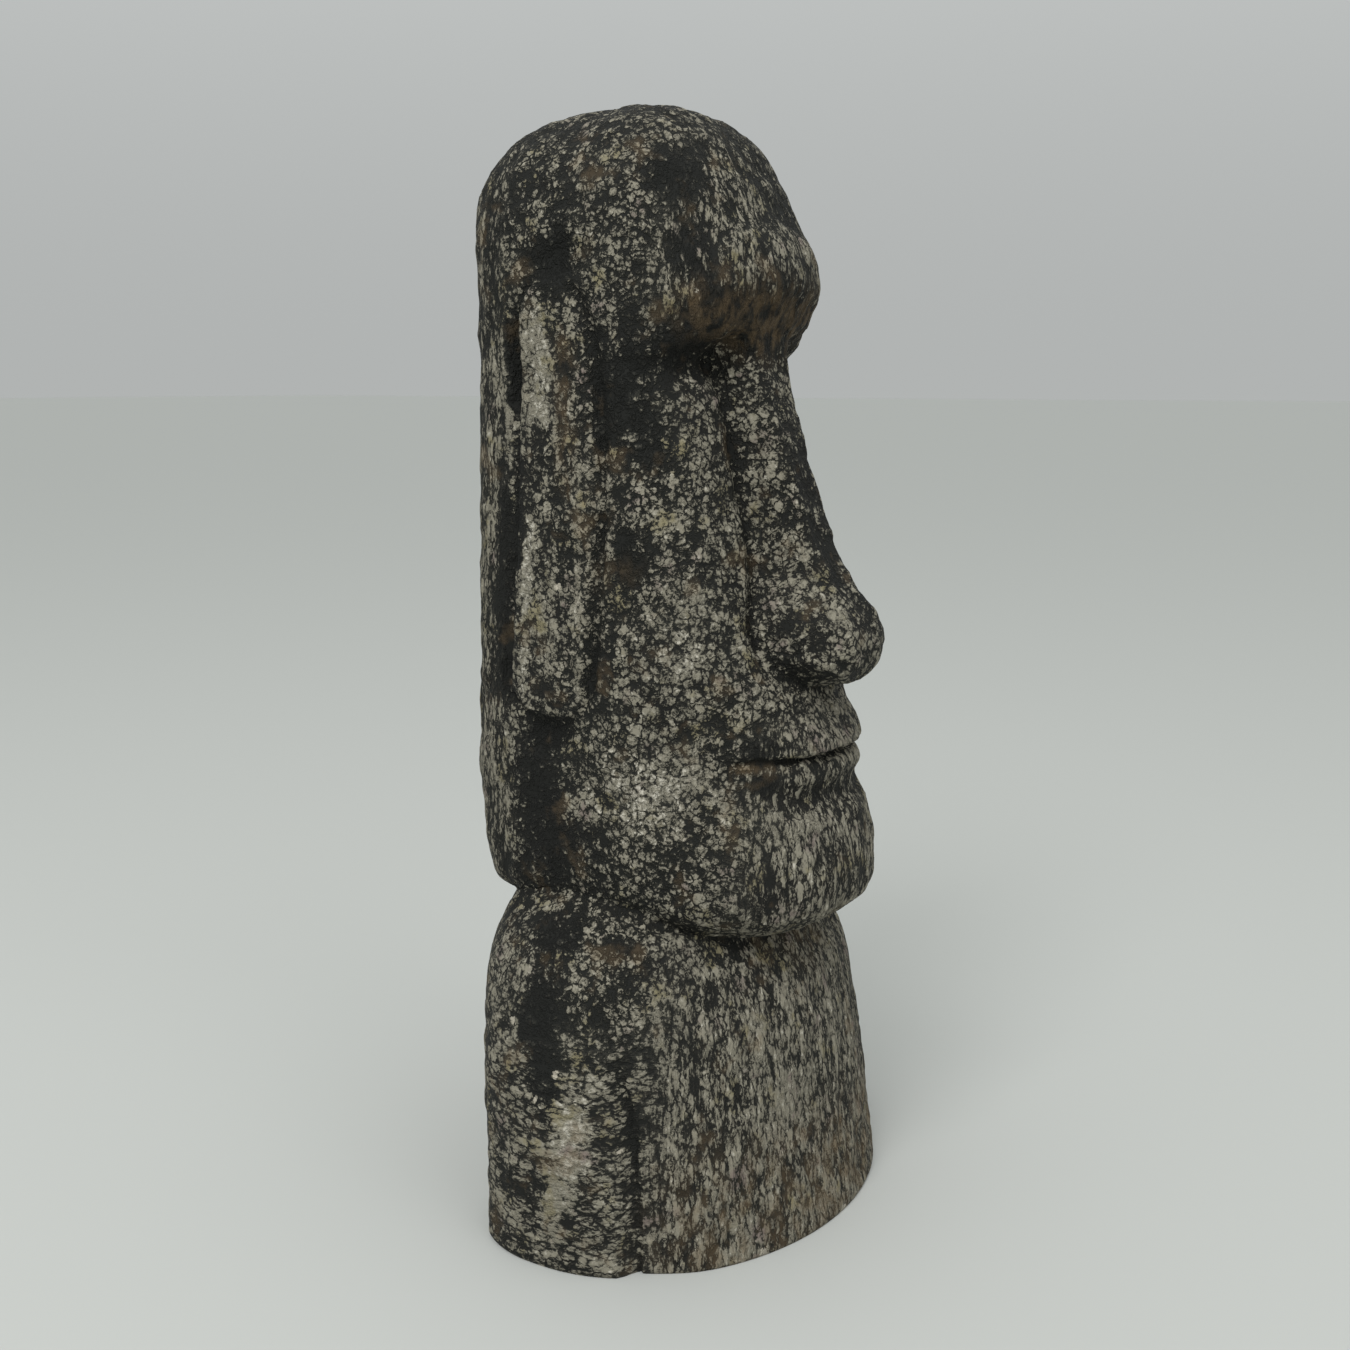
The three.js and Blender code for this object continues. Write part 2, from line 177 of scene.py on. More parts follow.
def head_block(bearing, height):
    sag = BROW_SAG * np.sin(bearing) ** 4 * ramp(height, EYE - 20, BROW_UNDER + 4)
    sag = sag * ramp(height, 410, CROWN_START)
    level = height + sag
    radius = section_radius(
        bearing,
        size_at(HEAD_HALF_WIDTH, height),
        size_at(FACE_AHEAD, level) - AXIS_AHEAD,
        size_at(HEAD_BEHIND, height) + AXIS_AHEAD,
        size_at(FACE_SQUARENESS, level),
        HEAD_BACK_SQUARENESS,
    )
    ahead = radius * np.cos(bearing)
    flare = 1 + size_at(JAW_FLARE, height) * ahead / 100
    roll_top = JAW_ROLL["top"] - JAW_ROLL["front_drop"] * ramp(ahead + AXIS_AHEAD, 0, 60)
    roll = dome(np.clip((roll_top - height) / JAW_ROLL["height"], 0, 1), JAW_ROLL["roundness"])
    return radius * np.sin(bearing) * flare * roll, ahead * roll


def torso_block(bearing, height):
    radius = section_radius(
        bearing,
        size_at(TORSO_HALF_WIDTH, height),
        size_at(CHEST_AHEAD, height) - AXIS_AHEAD,
        size_at(TORSO_BEHIND, height) + AXIS_AHEAD,
        CHEST_SQUARENESS,
        TORSO_BACK_SQUARENESS,
    )
    share = np.clip((height - SHOULDER_DOME_FOOT) / (SHOULDER_DOME_TOP - SHOULDER_DOME_FOOT), 0, 1)
    ahead = radius * np.cos(bearing)
    fore = dome(share, np.where(ahead > 0, SHOULDER_ROUNDNESS["front"], SHOULDER_ROUNDNESS["back"]))
    return radius * np.sin(bearing) * dome(share, SHOULDER_ROUNDNESS["side"]), ahead * fore


def nose_relief(across, ahead, height):
    """The nose: a front plane, flanks that run out at its foot, rounded wings and creases beside them."""
    plane, foot = size_at(NOSE_PLANE, height), size_at(NOSE_FOOT, height)
    inward = np.clip((foot - across) / (foot - plane), 0, 1)
    sloped = inward * inward * (3 - 2 * inward)
    bulbous = np.sqrt(1 - (1 - inward) ** 2.4)
    flank = blend(sloped, bulbous, ramp(height, CHEEK, CHEEK - 16))
    underside = NOSE_UNDERSIDE + WING["lift"] * (across / WING["across"]) ** 2
    span = ramp(height, BROW_UNDER + 6, BROW_UNDER - 6) * ramp(height, underside - 0.5, underside + 3.5)
    valley_span = ramp(height, NOSE_BASE - 3, 240) * ramp(height, BROW_UNDER, EYE - 5)
    valley = (2.4 * hump(across, foot + 1, 9) + 1.8 * hump(across, foot + 0.5, 4)) * valley_span
    eye_corner = 3 * hump(across, foot + 2, 8) * hump(height, EYE + 1, 14)
    wing_back_span = ramp(height, 224, 229) * ramp(height, 252, 244)
    wing_back = 1.6 * hump(across, WING["across"] + 2.5, 3.5) * wing_back_span
    above_wing = 1.3 * hump(height, 250 + 0.12 * (across - 18), 4.5) * hump(across, 18, 8)
    wing_swell = 1.0 * hump(height, 238, 11) * hump(across, 17, 9)
    raised = np.maximum(size_at(NOSE_AHEAD, height) - ahead, 0) * flank * span
    return raised + wing_swell * span - valley - eye_corner - wing_back - above_wing


def lip_relief(across, height):
    """The lips: two low swellings parted by a groove, with a fold below them."""
    upper = 4.5 * ramp(height, MOUTH - 0.5, MOUTH + 3) * ramp(height, 212, 195) * ramp(across, 44, 22)
    lower = 2.2 * hump(height, MOUTH - 6, 6.5) * ramp(across, 42, 20)
    ends = ramp(across, MOUTH_HALF_WIDTH + 3, MOUTH_HALF_WIDTH - 3)
    groove = MOUTH_GROOVE * hump(height, MOUTH, MOUTH_GROOVE) * ends
    corner = 2.5 * hump(across, MOUTH_HALF_WIDTH, 9) * hump(height, MOUTH - 3, 10)
    fold = 2.5 * hump(height, LIP_FOLD - 1, 8) * ramp(across, 45, 20)
    philtrum = 1.5 * hump(across, 0, 5) * hump(height, 211, 8)
    return upper + lower - groove - corner - fold - philtrum


def face_relief(across, ahead, height):
    """How far the face's skin moves forwards, by the distance from the midline and the height."""
    socket = 5 * hump(across, 33, 24) * hump(height, EYE - 1, 16)
    return nose_relief(across, ahead, height) + lip_relief(across, height) - socket


def ear_relief(ahead, height):
    """How far the skin on the side of the head moves outwards, for the ear's bar and what cuts it out."""
    back, front = size_at(EAR_BACK, height), size_at(EAR_FRONT, height)
    behind_edge = ramp(ahead, back - EAR_SOFTNESS, back + EAR_SOFTNESS)
    front_edge = ramp(ahead, front + EAR_SOFTNESS, front - EAR_SOFTNESS)
    ends = ramp(height, EAR_BOTTOM - 3, EAR_BOTTOM + 4) * ramp(height, EAR_TOP + 2, EAR_TOP - 5)
    crease_span = ramp(height, EAR_BOTTOM, EAR_BOTTOM + 9) * ramp(height, EAR_TOP + 3, EAR_TOP - 8)
    slot_depth = 1.5 + 4 * hump(height, EYE - 3, 30) + 0.8 * hump(height, 215, 30)
    slot = slot_depth * hump(ahead, back - 1.5, 5) * crease_span
    crease = 1.8 * hump(ahead, front + 1.5, 4) * crease_span
    hood_reach = hump(ahead, EAR_HOOD["ahead"] + (height - EAR_HOOD["height"]) / 4, 17)
    hood_span = ramp(height, EAR_TOP - 2, EAR_TOP + 3) * ramp(height, 391, 377)
    hood = EAR_HOOD["depth"] * hood_reach * hood_span
    pit_span = ramp(height, EAR_BOTTOM + 3, EAR_BOTTOM - 3) * ramp(height, 188, 198)
    pit = EAR_PIT["depth"] * hump(ahead, EAR_PIT["ahead"], 20) * pit_span
    return EAR_RAISED * behind_edge * front_edge * ends - slot - crease - hood - pit


def arm_relief(ahead, height):
    """How far the skin on the side of the torso moves outwards."""
    front = size_at(ARM_FRONT, height)
    groove = ARM_GROOVE * hump(ahead, front, ARM_GROOVE) * ramp(height, 90, 74)
    sinking = ramp(ahead, front + CHEST_HOLLOW["width"], front) * ramp(ahead, front - 1, front + 1.5)
    low_down = ramp(height, 100, GROIN)
    behind = ARM_BACK_HOLLOW["depth"] * hump(ahead, ARM_BACK_HOLLOW["ahead"], ARM_BACK_HOLLOW["reach"])
    return -groove - (CHEST_HOLLOW["depth"] * sinking + behind) * low_down


def skin(bearing, height):
    """The finished skin at bearings and heights: how far to the side, and how far ahead."""
    head_side, head_ahead = head_block(bearing, height)
    torso_side, torso_ahead = torso_block(bearing, height)
    head_reach, torso_reach = np.hypot(head_side, head_ahead), np.hypot(torso_side, torso_ahead)
    on_head = head_reach > torso_reach
    share = np.clip(0.5 + (head_reach - torso_reach) / (2 * NECK_FILLET), 0, 1)
    reach = blend(torso_reach, head_reach, share) + NECK_FILLET * share * (1 - share)
    grow = reach / np.maximum(head_reach, torso_reach)
    side = np.where(on_head, head_side, torso_side) * grow
    ahead = np.where(on_head, head_ahead, torso_ahead) * grow + AXIS_AHEAD
    sideways = np.abs(np.sin(bearing))
    facing = ramp(np.cos(bearing), 0.35, 0.75)
    ear = ear_relief(ahead, height) * ramp(sideways, 0.55, 0.8)
    arm = arm_relief(ahead, height) * ramp(sideways, 0.3, 0.6)
    outwards = np.where(on_head, ear, arm)
    forwards = np.where(on_head, face_relief(np.abs(side), ahead, height) * facing, 0)
    return side + np.sign(side) * outwards, ahead + forwards


def bearing_at(turn, level):
    """Columns crowd over the face, and those beside the nose follow the crease at its foot."""
    bearing = turn - FACE_CROWDING * np.sin(turn)
    crease = math.atan2(size_at(NOSE_FOOT, level) + 1, size_at(FACE_AHEAD, level) - AXIS_AHEAD)
    beside_nose = ramp(level, NOSE_BASE - 10, NOSE_BASE + 8) * ramp(level, BROW, BROW_UNDER)
    pull = (crease / NOSE_CREASE_BEARING - 1) * beside_nose * ramp(np.abs(bearing), 1.2, 0.4)
    return bearing * (1 + pull)


def height_at(bearing, level):
    """Levels are flat, but near the neck they follow its crease, and under the nose its wings."""
    middle = np.where(np.cos(bearing) > 0, NECK_CREASE["front"], NECK_CREASE["back"])
    crease = blend(middle, NECK_CREASE["side"], np.sin(bearing) ** 4)
    wing = WING["lift"] * hump(np.abs(bearing), WING["bearing"], WING["bearing"])
    return level + (crease - NECK) * hump(level, NECK, 60) + wing * hump(level, NOSE_BASE, 26)


# The net that carries the skin: columns all round, a little closer over the face, and level rows,
# closer at the ledges of neck, mouth, nose and brow.
COLUMNS = 300
FACE_CROWDING = 0.25
NOSE_CREASE_BEARING = 0.4
LEVEL_STEP = 1.72
LEDGES = [(NECK, 24, 0.9), (MOUTH, 9, 1.2), (NOSE_BASE, 12, 1.0), (350, 16, 0.5)]
CROWN_ROWS = 38
BASE_BEVEL, BASE_BEVEL_SHRINK = 1.2, 0.008

turn = np.linspace(-math.pi, math.pi, COLUMNS, endpoint=False)
levels = [0.0, BASE_BEVEL]
while levels[-1] < CROWN_START:
    crowding = 1 + sum(extra * hump(levels[-1], height, reach) for height, reach, extra in LEDGES)
    levels.append(min(levels[-1] + LEVEL_STEP / crowding, CROWN_START))
rows = []
for level in levels:
    bearing = bearing_at(turn, level)
    height = height_at(bearing, level)
    side, ahead = skin(bearing, height)
    shrink = 1 - BASE_BEVEL_SHRINK * (level == 0)
    rows.append(np.stack([side * shrink, -(AXIS_AHEAD + (ahead - AXIS_AHEAD) * shrink), height], axis=1))
for share in np.linspace(0, 1, CROWN_ROWS + 1)[1:-1]:
    rise = math.sin(share * math.pi / 2) ** (2 / CROWN_ROUNDNESS)
    height = CROWN_START + (HEIGHT - CROWN_START) * rise
    side, ahead = skin(bearing, np.full(COLUMNS, height))
    fullness = ramp(np.cos(bearing), -0.2, 0.6)
    scale = blend(dome(rise, CROWN_ROUNDNESS), dome(rise, CROWN_FRONT_ROUNDNESS), fullness)
    centre = blend(AXIS_AHEAD, CROWN_AHEAD, rise)
    ahead = centre + (ahead - AXIS_AHEAD) * scale
    rows.append(np.stack([side * scale, -ahead, np.full(COLUMNS, height)], axis=1))
net = np.array(rows)
net[:, :, 1] += (cad_low.y + cad_high.y) / 2 / MM - (net[:, :, 1].min() + net[:, :, 1].max()) / 2


def soften(field, passes):
    """A field over the net, averaged with its neighbours along columns and rows, again and again."""
    for _ in range(passes):
        field = (np.roll(field, 1, axis=1) + np.roll(field, -1, axis=1) + 2 * field) / 4
        padded = np.concatenate([field[:1], field, field[-1:]])
        field = (padded[:-2] + padded[2:] + 2 * field) / 4
    return field


def outward(points):
    """The unit normal at each point of the net."""
    along_row = np.roll(points, -1, axis=1) - np.roll(points, 1, axis=1)
    padded = np.concatenate([points[:1], points, points[-1:]])
    up_column = padded[2:] - padded[:-2]
    normal = np.cross(along_row, up_column)
    return normal / np.maximum(np.linalg.norm(normal, axis=2, keepdims=True), 1e-9)


CREST_PASSES = 10
crest = np.sum((net - soften(net, CREST_PASSES)) * outward(net), axis=2)

# Where the paint lies. Cover is how much more, or less, of it each spot has caught: more on crests and
# worn-in patches, less in bare patches and hollows. A second field marks where the flakes are palest,
# partly real pale paint and partly a painted highlight where the lower cheek and jaw face the light, and
# ochre is where the skin is stained brown. Places on the skin are (to its right, ahead, up) in millimetres.
to_right, ahead_of, up = -net[:, :, 0], -net[:, :, 1], net[:, :, 2]


def near(place, reach, stretch=(1, 1, 1)):
    """1 at a place on the skin, 0 beyond the reach, which is stretched along each axis."""
    away = net - np.array([-place[0], -place[1], place[2]])
    return ramp(np.linalg.norm(away / np.array(stretch), axis=2), reach, 0)


def stroke(start, end, reach):
    """1 along a line on both sides of the statue, given by how far ahead and how high its ends are."""
    start, end = np.array(start, float), np.array(end, float)
    points = np.stack([ahead_of, up], axis=2) - start
    along = np.clip(points @ (end - start) / np.sum((end - start) ** 2), 0, 1)
    away = np.linalg.norm(points - along[:, :, None] * (end - start), axis=2)
    return ramp(away, reach, 0) * ramp(np.abs(to_right), 25, 40)


BARE_PATCHES = [
    (0.20, (61, -30, 372), 16, (1, 1, 1.2)),
    (0.14, (60, -24, 386), 12, (1, 0.8, 1.6)),
    (0.20, (62, -31, 198), 13, (1, 1.1, 0.8)),
    (0.16, (62, -31, 155), 26, (1, 0.8, 1.2)),
    (0.12, (60, -36, 180), 22, (1, 0.8, 1.2)),
    (0.15, (55, 13, 304), 15, (1, 0.7, 1.7)),
    (0.13, (60, 9, 268), 15, (1, 0.9, 1.2)),
    (0.10, (57, 0, 325), 24, (1, 0.8, 1.6)),
    (0.18, (44, 22, 376), 12, (1, 1, 1)),
    (0.20, (36, 51, 183), 8, (1, 1, 0.8)),
    (0.10, (34, 50, 196), 15, (1.3, 1, 0.7)),
    (0.16, (90, -15, 98), 26, (1, 0.5, 1.4)),
    (0.14, (95, -8, 72), 16, (1, 0.6, 1.5)),
    (0.14, (75, -16, 124), 18, (1, 1.2, 0.8)),
    (0.14, (42, 20, 345), 15, (1.6, 1, 0.8)),
    (0.12, (42, 12, 405), 16, (1, 1, 1)),
    (0.04, (58, 0, 345), 42, (1, 1, 1)),
]
RICH_PATCHES = [
    (0.05, (53, 26, 245), 30, (1, 1, 1.2)),
    (0.07, (62, 12, 180), 34, (1, 1, 1)),
    (0.05, (64, -28, 245), 24, (1, 0.6, 1.8)),
    (0.05, (64, -32, 335), 22, (1, 0.6, 1.4)),
    (0.05, (96, 2, 50), 30, (1, 0.7, 1.4)),
    (0.05, (53, -8, 405), 26, (1, 1, 1)),
]
BARE_STROKES = [
    (0.25, (-47, 353), (-46, 324), 4),
    (0.16, (-41, 301), (-42, 265), 5),
    (0.12, (-52, 205), (-50, 300), 5),
]
RICH_STROKES = [
    (0.14, (-48.5, 322), (-48, 300), 2.6),
    (0.12, (-35, 282), (-40, 213), 3.4),
    (0.10, (-13.3, 300), (-13.3, 214), 2.8),
    (0.06, (-30, 365), (-30, 320), 9),
    (0.10, (6, 60), (-4, 12), 9),
]
on_torso = ramp(up, 128, 118)
CREST_COVER, CREST_LOWEST, CREST_HIGHEST = 0.03, -2.5, 1.5
cover = CREST_COVER * np.clip(crest, CREST_LOWEST, CREST_HIGHEST)
for amount, place, reach, stretch in BARE_PATCHES:
    cover -= amount * near(place, reach, stretch)
for amount, place, reach, stretch in RICH_PATCHES:
    cover += amount * near(place, reach, stretch)
for amount, start, end, reach in BARE_STROKES:
    cover -= amount * stroke(start, end, reach)
for amount, start, end, reach in RICH_STROKES:
    cover += amount * stroke(start, end, reach)
PALE_CHIPS = [
    ((37, 24, 382), 3.5), ((37, 28, 373), 3), ((44.6, 26, 364), 3), ((41.7, 28.4, 365), 2.5),
    ((53, 26.5, 226.5), 3), ((56.6, 29, 163.6), 2.5), ((64, -35, 208), 3), ((64, -22, 256), 3),
    ((91.6, -27, 92), 3.5), ((95.5, -3.4, 77), 3), ((97.8, -11, 66), 2.5), ((88, 20, 49), 2.5),
    ((48.4, 58.7, 1), 6), ((1.8, 69, 0), 7), ((99, -8, 0), 4), ((-60, 52, 0), 6), ((-95, -30, 0), 5),
]
chips = sum(near(place, reach) for place, reach in PALE_CHIPS)
brow_face = hump(up, BROW_UNDER + 4, 20) * ramp(ahead_of, 16, 30)
cover -= 0.12 * brow_face
nose_plane = ramp(ahead_of, 38, 46) * hump(up, 290, 70) * ramp(np.abs(to_right), 12, 6)
cover -= 0.07 * nose_plane
cover += 0.022 * on_torso * ramp(ahead_of, 10, 34)
cover += 0.022 * ramp(ahead_of, 40, 56) * ramp(up, 235, 200)
cover += 0.04 * hump(up, 270, 80) * hump(np.abs(to_right), 15, 10) * ramp(ahead_of, 30, 36)
cover -= 0.03 * ramp(up, 385, 400)
# Palest flakes: partly real pale paint, partly a painted highlight on the lower cheek and jaw, where they
# face the light.
pale_and_highlight = near((60, 12, 178), 34) + 0.7 * near((53, 25, 235), 26)
pale_and_highlight += 0.8 * near((96, 4, 55), 26, (1, 0.6, 1.6))
pale_and_highlight += 0.8 * stroke((-35, 282), (-40, 213), 5) + 0.6 * stroke((-30, 365), (-30, 300), 9)
ochre = brow_face + 0.8 * near((7, 34, 353), 20, (1.4, 1, 1)) + stroke((42, 189), (70, 189), 3)
ochre += 0.7 * stroke((-20, 345), (-18, 290), 7) + 0.6 * ramp(up, 60, 20) * ramp(ahead_of, 20, 50)
ochre += 0.6 * near((-5, 44, 113), 26) + 0.7 * near((53, 0, 262), 20, (1, 1, 0.6))
chin_front = ramp(ahead_of, 40, 58) * ramp(up, 212, 200)
forehead = ramp(ahead_of, 5, 24) * ramp(up, BROW_UNDER - 2, BROW_UNDER + 6)
streaky = np.maximum(np.maximum(chin_front, forehead), on_torso * ramp(ahead_of, 18, 40))
streaky = np.maximum(streaky, 0.9 * ramp(ahead_of, -46, -54))
platy = on_torso * ramp(up, 110, 70) * (1 - streaky)

# The mesh: the net, closed at the crown by a pole and at the base by a point in its middle.
statue_mesh = bpy.data.meshes.new("moai")
row_count = len(net)
crown_top = np.array([[0, net[-1, :, 1].mean(), HEIGHT]])
under_middle = np.array([[0, 0, 0]])
vertices = np.concatenate([net.reshape(-1, 3), crown_top, under_middle]) * MM
column = np.arange(COLUMNS)
after = (column + 1) % COLUMNS
faces = []
for row in range(row_count - 1):
    low, high = row * COLUMNS, (row + 1) * COLUMNS
    faces += np.stack([low + column, low + after, high + after, high + column], axis=1).tolist()
last = (row_count - 1) * COLUMNS
pole, foot = row_count * COLUMNS, row_count * COLUMNS + 1
faces += np.stack([last + column, last + after, np.full(COLUMNS, pole)], axis=1).tolist()
faces += np.stack([after, column, np.full(COLUMNS, foot)], axis=1).tolist()
statue_mesh.from_pydata(vertices.tolist(), [], faces)
statue_mesh.update()


def keep_field(name, field, at_pole=0.0):
    """Stores a field over the net on the mesh, where the relief and the paint can read it."""
    attribute = statue_mesh.attributes.new(name, "FLOAT", "POINT")
    attribute.data.foreach_set("value", np.append(field.ravel(), [at_pole, at_pole]).astype(np.float32))


keep_field("cover", cover)
keep_field("streaky", streaky)
keep_field("platy", platy)
keep_field("chips", np.clip(chips, 0, 1))
keep_field("pale_and_highlight", np.clip(pale_and_highlight, 0, 1))
keep_field("ochre", np.clip(ochre, 0, 1))
keep_field("relief_share", ramp(up, 0.5, 5))

statue = bpy.data.objects.new("moai", statue_mesh)
bpy.context.scene.collection.objects.link(statue)


class Wire:
    """An output socket of a node tree. Arithmetic on it adds the Math nodes that work it out."""

    def __init__(self, tree, socket=None):
        self.tree = tree
        self.socket = socket

    def make(self, kind, settings=None, values=None, output=0):
        """Adds a node of any type: its settings first, then its sockets' values or links."""
        node = self.tree.nodes.new(kind)
        for name, value in (settings or {}).items():
            setattr(node, name, value)
        for place, value in (values or {}).items():
            if isinstance(value, Wire):
                self.tree.links.new(value.socket, node.inputs[place])
            else:
                node.inputs[place].default_value = value
        return Wire(self.tree, node.outputs[output])

    def math(self, operation, *values):
        return self.make("ShaderNodeMath", {"operation": operation}, dict(enumerate(values)))

    def vector(self, operation, *values):
        return self.make("ShaderNodeVectorMath", {"operation": operation}, dict(enumerate(values)))

    def __add__(self, other):
        return self.math("ADD", self, other)

    def __sub__(self, other):
        return self.math("SUBTRACT", self, other)

    def __mul__(self, other):
        return self.math("MULTIPLY", self, other)

    def __truediv__(self, other):
        return self.math("DIVIDE", self, other)

    def __radd__(self, other):
        return self.math("ADD", other, self)

    def __rsub__(self, other):
        return self.math("SUBTRACT", other, self)

    def __rmul__(self, other):
        return self.math("MULTIPLY", other, self)

    def __rtruediv__(self, other):
        return self.math("DIVIDE", other, self)

    def above(self, start, end):
        """0 below the start, 1 above the end, and smooth between them."""
        values = {"Value": self, "From Min": start, "From Max": end, "To Min": 0.0, "To Max": 1.0}
        return self.make("ShaderNodeMapRange", {"interpolation_type": "SMOOTHSTEP"}, values)

    def between(self, a, b):
        """A colour from a to b, by this share."""
        settings = {"data_type": "RGBA"}
        return self.make("ShaderNodeMix", settings, {0: self, 6: a, 7: b}, output=2)

    def noise(self, per_metre, detail=2.0, roughness=0.5, stretch=(1, 1, 1), seed=0.0):
        """Noise over this position: how many waves a metre, and how the waves are stretched."""
        place = self.vector("DIVIDE", self, stretch)
        values = {"Vector": place, "W": seed, "Scale": per_metre}
        values |= {"Detail": detail, "Roughness": roughness}
        return self.make("ShaderNodeTexNoise", {"noise_dimensions": "4D"}, values)

    def crack(self, per_metre, stretch=(1, 1, 1)):
        """How far this position is from the cracks between cells, as a share of a cell's width."""
        values = {"Vector": self.vector("DIVIDE", self, stretch), "Scale": per_metre}
        return self.make("ShaderNodeTexVoronoi", {"feature": "DISTANCE_TO_EDGE"}, values)


# The chiselled relief: broad facets, and flakes on them, both worked into the mesh.
FACET_WIDTH, FACET_DEPTH = 9 * MM, 0.95 * MM
FLAKE_WIDTH, FLAKE_DEPTH = 3.7 * MM, 0.5 * MM
STREAK_STRETCH, PLATE_STRETCH = (0.75, 0.75, 2.4), (1.7, 1.7, 0.9)
RELIEF_SEED = 3.0
relief = bpy.data.node_groups.new("chiselled_skin", "GeometryNodeTree")
inputs = [
    ("Geometry", "NodeSocketGeometry", None),
    ("Facet width", "NodeSocketFloat", FACET_WIDTH),
    ("Facet depth", "NodeSocketFloat", FACET_DEPTH),
    ("Flake width", "NodeSocketFloat", FLAKE_WIDTH),
    ("Flake depth", "NodeSocketFloat", FLAKE_DEPTH),
    ("Seed", "NodeSocketFloat", RELIEF_SEED),
    ("Finish", "NodeSocketMaterial", None),
]
for name, kind, _ in inputs:
    relief.interface.new_socket(name, in_out="INPUT", socket_type=kind)
relief.interface.new_socket("Geometry", in_out="OUTPUT", socket_type="NodeSocketGeometry")
given = relief.nodes.new("NodeGroupInput")
asked = {name: Wire(relief, given.outputs[name]) for name, _, _ in inputs}
start = Wire(relief)
place = start.make("GeometryNodeInputPosition")
normal_out = start.make("GeometryNodeInputNormal")


def field_named(name):
    return start.make("GeometryNodeInputNamedAttribute", {"data_type": "FLOAT"}, {"Name": name})


streak_share, plate_share = field_named("streaky"), field_named("platy")
facets = place.noise(1 / asked["Facet width"], 1.0, 0.4, seed=asked["Seed"]) - 0.5
broad = place.noise(0.4 / asked["Facet width"], 1.0, 0.5, seed=asked["Seed"]) - 0.5
blobs = place.noise(0.7 / asked["Flake width"], 1.5, 0.6, seed=asked["Seed"])
streaks = place.noise(0.7 / asked["Flake width"], 1.5, 0.6, STREAK_STRETCH, asked["Seed"])
plates = place.noise(0.7 / asked["Flake width"], 1.5, 0.6, PLATE_STRETCH, asked["Seed"])
mixed = blobs + streak_share * (streaks - blobs) + plate_share * (plates - blobs)
raised = mixed.above(0.42, 0.58)
lift = (facets + 0.8 * broad) * asked["Facet depth"] * 2.4 + (raised - 0.6) * asked["Flake depth"]
lift = lift * field_named("relief_share")
offset = normal_out.make("ShaderNodeVectorMath", {"operation": "SCALE"}, {0: normal_out, "Scale": lift})
moved = start.make("GeometryNodeSetPosition", None, {"Geometry": asked["Geometry"], "Offset": offset})
smooth = start.make("GeometryNodeSetShadeSmooth", None, {"Geometry": moved})
real = start.make("GeometryNodeRealizeInstances", None, {"Geometry": smooth})
finished = start.make("GeometryNodeSetMaterial", None, {"Geometry": real, "Material": asked["Finish"]})
result = relief.nodes.new("NodeGroupOutput")
relief.links.new(finished.socket, result.inputs["Geometry"])

# The paint: a matt charcoal coat all over, and the dry-brushed flakes, tinted here and there, and paler
# where a highlight is painted on them on the lower cheek and jaw.
CHARCOAL = (0.0095, 0.0100, 0.0085, 1)
CHARCOAL_WORN = (0.060, 0.057, 0.045, 1)
FLAKE_GREY = (0.235, 0.218, 0.170, 1)
FLAKE_PALE = (0.56, 0.53, 0.45, 1)
FLAKE_OLIVE = (0.215, 0.190, 0.115, 1)
FLAKE_LILAC = (0.205, 0.170, 0.148, 1)
STAIN_OCHRE = (0.165, 0.112, 0.058, 1)
BARE_CAST = (0.46, 0.42, 0.34, 1)

DRIFT, BUMP_DEPTH = 2.2 * MM, 0.9 * MM
# How many waves a metre each pattern has.
PATCHES, STAINS, TINTS, RAGS, OCHRE_SPOTS = 40.0, 55.0, 70.0, 110.0, 180.0
GLINTS, DRIFTS, CHIP_EDGES, GRIT = 420.0, 600.0, 1100.0, 1500.0

paint = bpy.data.materials.new("dry_brushed_charcoal")
paint.use_nodes = True
tree = paint.node_tree
shader = tree.nodes["Principled BSDF"]
brush = Wire(tree)
place = brush.make("ShaderNodeTexCoord", output=3)


def painted(name):
    return brush.make("ShaderNodeAttribute", {"attribute_name": name}, output=2)


def flakes(stretch):
    """How likely each spot is to have caught the brush, for flakes drawn out by this stretch."""
    clumps = place.noise(0.7 / FLAKE_WIDTH, 2.5, 0.6, stretch, 3.0)
    fine = place.noise(2.4 / FLAKE_WIDTH, 3.0, 0.65, stretch, 7.0)
    cracks = wandering.crack(1 / FLAKE_WIDTH, stretch).above(0.0, 0.16)
    fine_cracks = wandering.crack(2.1 / FLAKE_WIDTH, stretch).above(0.0, 0.2)
    return 0.44 * clumps + 0.43 * fine + 0.09 * cracks + 0.04 * fine_cracks


streak_share, plate_share, cover_share = painted("streaky"), painted("platy"), painted("cover")
drift_values = {"Vector": place, "Scale": DRIFTS, "Detail": 2.0}
drift = brush.make("ShaderNodeTexNoise", None, drift_values, output=1)
wandering = place.vector("ADD", place, drift.vector("MULTIPLY", drift, (DRIFT, DRIFT, DRIFT)))
blobs, streaks, plates = flakes((1, 1, 1)), flakes(STREAK_STRETCH), flakes(PLATE_STRETCH)
height = blobs + streak_share * (streaks - blobs) + plate_share * (plates - blobs)
patches = place.noise(PATCHES, 3.0, 0.6, seed=11.0)
ragged = place.noise(RAGS, 3.0, 0.6, (1, 1, 1.5), 37.0).above(0.3, 0.7)
level = height + cover_share * (0.35 + 1.2 * ragged) + 0.20 * (patches - 0.5)
flake = level.above(0.530, 0.552)
haze = level.above(0.44, 0.58)
tint = place.noise(TINTS, 3.0, 0.6, seed=19.0)
